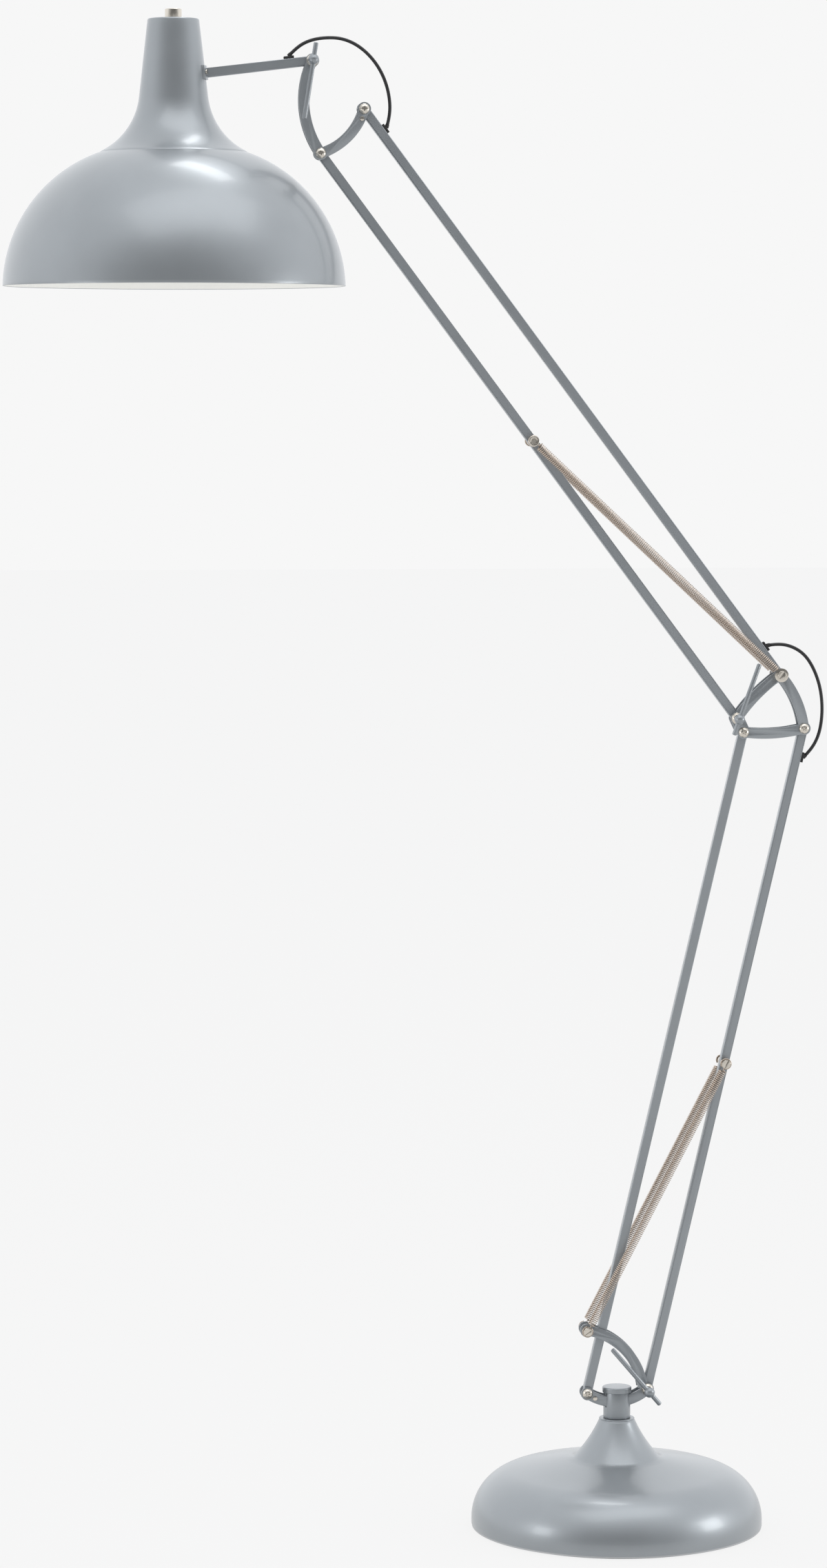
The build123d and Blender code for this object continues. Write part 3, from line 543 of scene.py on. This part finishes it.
nickel_plate = uneven_shine(
    "bright_nickel_plate",
    "#cfc9bf",
    grain=420.0,
    detail=4.0,
    shine=(0.12, 0.26),
    more={"Metallic": 1.0},
    dents=0.03,
)
# Drawn wire takes the same plate, but stays duller. Its colour is darker and browner all over as painted shade,
# standing in for the shade between the coils.
spring_nickel_painted_shade = uneven_shine(
    "nickel_plated_spring_wire",
    "#b9aca0",
    grain=700.0,
    detail=2.0,
    shine=(0.2, 0.34),
    more={"Metallic": 1.0},
)
# Zinc plate is a cooler grey, with a cloudy shine.
plain_steel = uneven_shine(
    "zinc_plated_steel",
    "#b4b6b8",
    grain=260.0,
    detail=5.0,
    shine=(0.3, 0.5),
    more={"Metallic": 1.0},
)


def coil_tree():
    """A geometry node tree that winds a wire into an open coil along +Z."""
    tree = bpy.data.node_groups.new("wound_coil", "GeometryNodeTree")
    face = tree.interface
    face.new_socket("Geometry", in_out="INPUT", socket_type="NodeSocketGeometry")
    for label in ("Turns", "Coil Radius", "Length", "Wire Radius"):
        face.new_socket(label, in_out="INPUT", socket_type="NodeSocketFloat")
    face.new_socket("Finish", in_out="INPUT", socket_type="NodeSocketMaterial")
    face.new_socket("Geometry", in_out="OUTPUT", socket_type="NodeSocketGeometry")
    given = add_node(tree, "NodeGroupInput").outputs
    line = add_node(
        tree,
        "GeometryNodeCurveSpiral",
        {
            "Resolution": 14,
            "Rotations": given["Turns"],
            "Start Radius": given["Coil Radius"],
            "End Radius": given["Coil Radius"],
            "Height": given["Length"],
        },
    )
    section = add_node(
        tree, "GeometryNodeCurvePrimitiveCircle", {"Resolution": 6, "Radius": given["Wire Radius"]}
    )
    wire = add_node(
        tree,
        "GeometryNodeCurveToMesh",
        {"Curve": line.outputs["Curve"], "Profile Curve": section.outputs["Curve"], "Fill Caps": True},
    )
    real = add_node(tree, "GeometryNodeRealizeInstances", {"Geometry": wire.outputs["Mesh"]})
    painted = add_node(
        tree, "GeometryNodeSetMaterial", {"Geometry": real.outputs["Geometry"], "Material": given["Finish"]}
    )
    add_node(tree, "NodeGroupOutput", {"Geometry": painted.outputs["Geometry"]})
    return tree


wound_coil = coil_tree()


def grown(name, tree, inputs):
    """The plain mesh that a geometry node tree makes with these inputs."""
    seed = bpy.data.objects.new(name, bpy.data.meshes.new(name))
    scene.collection.objects.link(seed)
    maker = seed.modifiers.new("maker", "NODES")
    maker.node_group = tree
    for item in tree.interface.items_tree:
        if item.item_type == "SOCKET" and item.in_out == "INPUT" and item.name in inputs:
            maker[item.identifier] = inputs[item.name]
    depsgraph = bpy.context.evaluated_depsgraph_get()
    mesh = bpy.data.meshes.new_from_object(seed.evaluated_get(depsgraph))
    bpy.data.objects.remove(seed)
    return mesh


def joined(name, meshes):
    """One mesh from several."""
    shell = bmesh.new()
    for mesh in meshes:
        shell.from_mesh(mesh)
    whole = bpy.data.meshes.new(name)
    bmesh.ops.recalc_face_normals(shell, faces=shell.faces)
    shell.to_mesh(whole)
    shell.free()
    return whole


# ---------------------------------------------------------------- balance springs
# Four tension springs, one on each side of both arm pairs, wound open from plated wire. Each end
# is a loop that hangs on a sleeved stud, and the middle stretches when the arm moves.

spring_depth = 18.0 * mm
coil_radius = 4.4 * mm
wire_radius = 0.75 * mm
coil_pitch = 2.3 * mm
end_gap = 9.5 * mm
hook_radius = 6.1 * mm
hook_opening = radians(30)
hook_steps = 26
hook_neck = (0.6 * mm, 2.2 * mm)


def middle_of(node):
    """The middle of a node's box."""
    low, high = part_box(node)
    return (low + high) / 2


def joint_place(name):
    """The middle of a hinge."""
    return next(Vector(j["pos_m"]) for j in frame["joints"] if j["name"] == name)


def hook_path(at, sign):
    """A loop round a stud at this height on +Z, with a neck that reaches the coil's rim."""
    turns = [hook_opening + (tau - hook_opening) * i / hook_steps for i in range(hook_steps + 1)]
    loop = [Vector((-hook_radius * sin(t), 0, at + sign * hook_radius * cos(t))) for t in turns]
    neck = Vector((hook_neck[0], 0, at + sign * (hook_radius + hook_neck[1])))
    return loop + [neck, Vector((coil_radius, 0, at + sign * end_gap))]


def spring(name, foot_stud, head_stud, depth, nodes):
    """One spring between two studs, at this depth in front of the arms."""
    run = head_stud - foot_stud
    length = run.length
    coil_length = length - 2 * end_gap
    coil = grown(
        name,
        wound_coil,
        {
            "Turns": float(round(coil_length / coil_pitch)),
            "Coil Radius": coil_radius,
            "Length": coil_length,
            "Wire Radius": wire_radius,
            "Finish": spring_nickel_painted_shade,
        },
    )
    coil.transform(Matrix.Translation((0, 0, end_gap)))
    low_hook = tube_along(name, hook_path(0.0, 1), wire_radius, 8)
    high_hook = tube_along(name, hook_path(length, -1), wire_radius, 8)
    mesh = joined(name, [coil, low_hook, high_hook])
    lean = Matrix.Rotation(atan2(run.x, run.z), 4, "Y")
    mesh.transform(Matrix.Translation(foot_stud + Vector((0, -depth, 0))) @ lean)
    for face in mesh.polygons:
        face.use_smooth = True
    piece = new_piece(name, mesh, spring_nickel_painted_shade)
    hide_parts(*nodes)
    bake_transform(piece)


for pair, foot, head in (
    ("lower", joint_place("lower_spring_turn"), middle_of("lower_bar_studs")),
    ("upper", joint_place("upper_spring_turn"), middle_of("upper_bar_studs")),
):
    for side, depth in (("front", spring_depth), ("rear", -spring_depth)):
        spring(
            f"{pair}_{side}_spring",
            foot,
            head,
            depth,
            (f"{pair}_spring_coils", f"{pair}_spring_hooks"),
        )

# ---------------------------------------------------------------- pressed and turned hardware
# Bars, bracket plates, bolts, studs and bushes keep the sizes they are made to, with the small
# rounded edges that tumbling, pressing or paint leaves on them.

nodes_of_body = frame["record"]["behaviour"]["bodies"]
body_of_node = {node: body for body, nodes in nodes_of_body.items() for node in nodes}
weld_distance = 2e-6
flat_within = radians(0.4)
pressed_corner = radians(35)
eased_corner = radians(32)


def eased(node, finish, edge, steps=2, long_edge=None):
    """A copy of a node with its sharp edges eased, or only those longer than long_edge."""
    shell = bmesh.new()
    shell.from_mesh(frame["nodes"][node].data)
    bmesh.ops.remove_doubles(shell, verts=shell.verts, dist=weld_distance)
    bmesh.ops.dissolve_limit(shell, angle_limit=flat_within, verts=shell.verts, edges=shell.edges)
    for face in shell.faces:
        # A flat side meets each neighbour at a corner, and a round one runs on into the next facet.
        face.smooth = any(
            len(e.link_faces) == 2 and e.calc_face_angle() < pressed_corner for e in face.edges
        )
    sharp = [
        e
        for e in shell.edges
        if len(e.link_faces) == 2
        and e.is_convex
        and e.calc_face_angle() > pressed_corner
        and (long_edge is None or e.calc_length() > long_edge)
    ]
    eased_edges = bmesh.ops.bevel(
        shell,
        geom=sharp,
        offset=edge,
        offset_type="OFFSET",
        segments=steps,
        profile=0.5,
        affect="EDGES",
        clamp_overlap=True,
    )
    for face in eased_edges["faces"]:
        face.smooth = True
    name = node + "_eased"
    mesh = bpy.data.meshes.new(name)
    shell.to_mesh(mesh)
    shell.free()
    mesh.set_sharp_from_angle(angle=eased_corner)
    piece = new_piece(name, mesh, finish)
    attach(piece, body_of_node[node])
    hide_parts(node)
    return piece


for node in ("lower_main_bar", "lower_link_bar", "upper_main_bar", "upper_link_bar", "head_bar"):
    eased(node, silver_enamel, 1.3 * mm, 4, long_edge=90 * mm)

for node in (
    "base_bracket_plates",
    "elbow_plates",
    "head_plates",
    "saddle_plate",
    "post_tube",
    "post_cap",
    "collar_ring",
):
    eased(node, silver_enamel, 0.5 * mm)

for node in (
    "base_pivot_bolt",
    "base_clamp_bolt",
    "base_clamp_washer",
    "bracket_studs",
    "lower_bar_studs",
    "elbow_pivot_bolts",
    "elbow_clamp_bolt",
    "elbow_clamp_washer",
    "elbow_spring_bolt",
    "upper_bar_studs",
    "head_pivot_bolts",
    "head_rivets",
    "head_clamp_bolt",
    "head_clamp_washer",
    "saddle_screws",
    "switch_button",
):
    eased(node, nickel_plate, 0.25 * mm)

# ---------------------------------------------------------------- clamp knobs
# A turned hub with a ball end, drilled for a rod that is pushed through off centre. The whole knob
# is painted like the arms, and its rod has rounded ends.

knob_depth = 27.0 * mm
hub_radius = 6.4 * mm
ball_steps = 16
stem_radius = 4.4 * mm
stem_start = 13.1 * mm
stem_chamfer = 0.5 * mm
# A turned groove just behind the ball, as depth and distance from the ball.
stem_groove = ((0.0, 2.4 * mm), (0.5 * mm, 1.9 * mm), (0.5 * mm, 1.1 * mm), (0.0, 0.6 * mm))
bolt_bore = 3.05 * mm
bore_wall = 0.6 * mm
rod_radius = 2.8 * mm
rod_long = 70.0 * mm
rod_short = 20.0 * mm
# The rod's rounded ends, as share of its radius and distance from its tip.
rod_end = ((0.0, 0.0), (0.55, 0.15 * mm), (0.9, 0.8 * mm), (1.0, 1.8 * mm))


def knob(node, joint, angle):
    """The knob on one clamp bolt, with its rod at this angle in the arms' plane."""
    name = node + "_turned"
    seat = knob_depth - (hub_radius**2 - stem_radius**2) ** 0.5
    outline = [
        (bolt_bore, stem_start),
        (stem_radius - stem_chamfer, stem_start),
        (stem_radius, stem_start + stem_chamfer),
    ]
    outline += [(stem_radius - depth, seat - back) for depth, back in stem_groove]
    outline.append((stem_radius, seat))
    start = asin(stem_radius / hub_radius)
    for i in range(1, ball_steps + 1):
        turn = start + (pi - 1e-4 - start) * i / ball_steps
        outline.append((hub_radius * sin(turn), knob_depth - hub_radius * cos(turn)))
    outline.append((0.0, knob_depth + hub_radius))
    bore_end = knob_depth - rod_radius - bore_wall
    outline += [(0.0, bore_end), (bolt_bore, bore_end)]
    hub = turned(name, outline, (0, 0, 0), 48)
    hub.transform(Matrix.Rotation(radians(90), 4, "X"))
    ring = [(rod_radius * share, -rod_short + inset) for share, inset in rod_end]
    ring += [(rod_radius * share, rod_long - inset) for share, inset in reversed(rod_end)]
    rod = turned(name, ring, (0, 0, 0), 32)
    rod.transform(Matrix.Translation((0, -knob_depth, 0)) @ Matrix.Rotation(radians(90 - angle), 4, "Y"))
    mesh = joined(name, [hub, rod])
    mesh.set_sharp_from_angle(angle=turned_corner)
    mesh.transform(Matrix.Translation(joint_place(joint)))
    piece = new_piece(name, mesh, knob_enamel)
    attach(piece, body_of_node[node])
    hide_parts(node)


knob("base_knob", "base_knob_turn", 130.5)
knob("elbow_knob", "elbow_knob_turn", 70.4)
knob("head_knob", "head_knob_turn", 261.2)

# ---------------------------------------------------------------- shade
# Two spun steel shells: a tall flared neck and a wide dome, pressed together at a fine seam. Both
# are silver grey outside and white inside, and their edges are rounded.

dome_low, dome_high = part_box("shade_dome")
shade_place = ((dome_low.x + dome_high.x) / 2, 0.0, dome_low.z)
shade_wall = 1.2 * mm
rim = (200.8 * mm, 0.9 * mm)
dome_middle = (159.4 * mm, 106.7 * mm)
seam = (84.1 * mm, 156.8 * mm)
flare_waist = (55.0 * mm, 182.7 * mm)
neck_foot = (40.4 * mm, 220.6 * mm)
neck_top = (30.1 * mm, 310.7 * mm)
crown_radius = 2.0 * mm
button_hole = 10.3 * mm

dome_line = list(reversed(arc(seam, dome_middle, rim, 64)))
ring, side = two_skins(dome_line, shade_wall, 7)
dome_mesh = turned("shade_dome_shell", ring, shade_place, 220, side)
dome = new_piece("shade_dome_shell", dome_mesh, silver_enamel, white_enamel)
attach(dome, "head")
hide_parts("shade_dome")

# The neck's edge laps over the dome, and its hem stands a little proud as a fine seam.
lap = (seam[0] + 2.4 * mm, seam[1] - 0.7 * mm)
flare = [lap] + list(reversed(arc(neck_foot, flare_waist, (seam[0], seam[1] + 1.0 * mm), 28)))
shaft = between(neck_foot, neck_top, 10)
crown = arc(
    (neck_top[0] + 0.15 * mm, neck_top[1] - 1.8 * mm),
    (neck_top[0] - 0.5 * mm, neck_top[1] - 0.5 * mm),
    (neck_top[0] - crown_radius, neck_top[1]),
    7,
)
lid_edge = (button_hole, neck_top[1])
lid = between(crown[-1], lid_edge, 4) + [lid_edge]
ring, side = two_skins(flare + shaft + crown + lid, shade_wall, 5)
neck_mesh = turned("shade_neck_shell", ring, shade_place, 180, side)
neck = new_piece("shade_neck_shell", neck_mesh, silver_enamel, white_enamel)
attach(neck, "head")
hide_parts("shade_neck")

# ---------------------------------------------------------------- lampholder and switch
# A black phenolic lampholder with a threaded ring, hung under a steel carrier in the neck. Its brass
# screw shell shows from below. A plated push button passes through the top of the neck.

# Phenolic comes from the mould black and glossy, and dulls in patches with heat.
phenolic = uneven_shine(
    "black_phenolic_moulding", "#1b1a19", grain=120.0, detail=4.0, shine=(0.22, 0.36), more={"IOR": 1.6}
)

for node in ("lampholder", "lampholder_ring", "switch_body"):
    eased(node, phenolic, 0.4 * mm)
eased("lampholder_carrier", plain_steel, 0.2 * mm)

# Rolled brass is yellow, with a soft shine.
brass = uneven_shine(
    "rolled_brass", "#c9a45c", grain=300.0, detail=3.0, shine=(0.22, 0.4), more={"Metallic": 1.0}
)

# The screw shell is thin sheet, rolled into the thread of an E27 lamp cap.
thread_middle = 12.45 * mm
thread_wave = 0.5 * mm
thread_pitch = 3.62 * mm
thread_start = 2.0 * mm
thread_length = 21.6 * mm
thread_steps = 60
shell_wall = 0.25 * mm
holder_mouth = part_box("lampholder")[0].z
heights = [thread_length * i / thread_steps for i in range(thread_steps + 1)]
waves = [(thread_middle + thread_wave * cos(tau * z / thread_pitch), thread_start + z) for z in heights]
thread_ring = waves + [(r + shell_wall, z) for r, z in reversed(waves)]
screw_shell = new_piece(
    "lampholder_screw_shell",
    turned("lampholder_screw_shell", thread_ring, (shade_place[0], 0, holder_mouth), 64),
    brass,
)
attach(screw_shell, "head")

# ---------------------------------------------------------------- rubber, bushes and the base's underside
# Moulded rubber grommets and the lead's gland, nylon bushes that flank every bar, a felt pad under
# the floor plate, and the iron ballast shut inside the base.

# Moulded rubber is matt, with the fine grain of its mould.
rubber = grained_finish(
    "moulded_black_rubber",
    "#1a1a1b",
    0.68,
    grain=1100.0,
    detail=3.0,
    dents=0.2,
    depth=0.2 * mm,
    more={"IOR": 1.52},
)
# Moulded nylon is smoother and a shade paler.
nylon = grained_finish(
    "moulded_black_nylon",
    "#2a2b2c",
    0.5,
    grain=800.0,
    detail=2.0,
    dents=0.1,
    depth=0.2 * mm,
    more={"IOR": 1.53},
)
# Sand-cast iron is dark and rough.
cast_iron = grained_finish(
    "rough_cast_iron",
    "#3f3f40",
    0.72,
    grain=380.0,
    detail=6.0,
    dents=0.5,
    depth=0.8 * mm,
    more={"Metallic": 0.7},
)

felt, tree = new_finish("pressed_wool_felt")
spots = add_node(tree, "ShaderNodeTexCoord")
# Felt fibres are about 0.03 mm thick, so they are drawn as 1 mm tufts.
tufts = add_node(
    tree, "ShaderNodeTexNoise", {"Vector": spots.outputs["Object"], "Scale": 950.0, "Detail": 6.0}
)
wool_tone = add_node(
    tree,
    "ShaderNodeMix",
    {0: tufts.outputs["Fac"], 6: tone("#2b2c2e"), 7: tone("#47494c")},
    data_type="RGBA",
)
dents = add_node(
    tree, "ShaderNodeBump", {"Height": tufts.outputs["Fac"], "Strength": 0.6, "Distance": 0.6 * mm}
)
wool = add_node(
    tree,
    "ShaderNodeBsdfPrincipled",
    {
        "Base Color": wool_tone.outputs[2],
        "Roughness": 0.95,
        "Sheen Weight": 0.4,
        "Normal": dents.outputs["Normal"],
    },
)
close_finish(tree, wool.outputs[0])

for node in ("lower_arm_grommet", "upper_arm_grommets", "head_bar_grommet", "cable_gland"):
    eased(node, rubber, 0.5 * mm)
for node in (
    "lower_main_bushes",
    "lower_link_bushes",
    "upper_main_bushes",
    "upper_link_bushes",
    "head_bar_bush",
):
    eased(node, nylon, 0.15 * mm)
eased("base_pad", felt, 0.6 * mm)

for node, finish in (
    ("base_plate", plain_steel),
    ("ballast_screws", plain_steel),
    ("swivel_tube", plain_steel),
    ("swivel_spindle", plain_steel),
    ("swivel_bushes", nylon),
    ("base_ballast", cast_iron),
):
    mesh = frame["nodes"][node].data
    mesh.materials.clear()
    mesh.materials.append(finish)
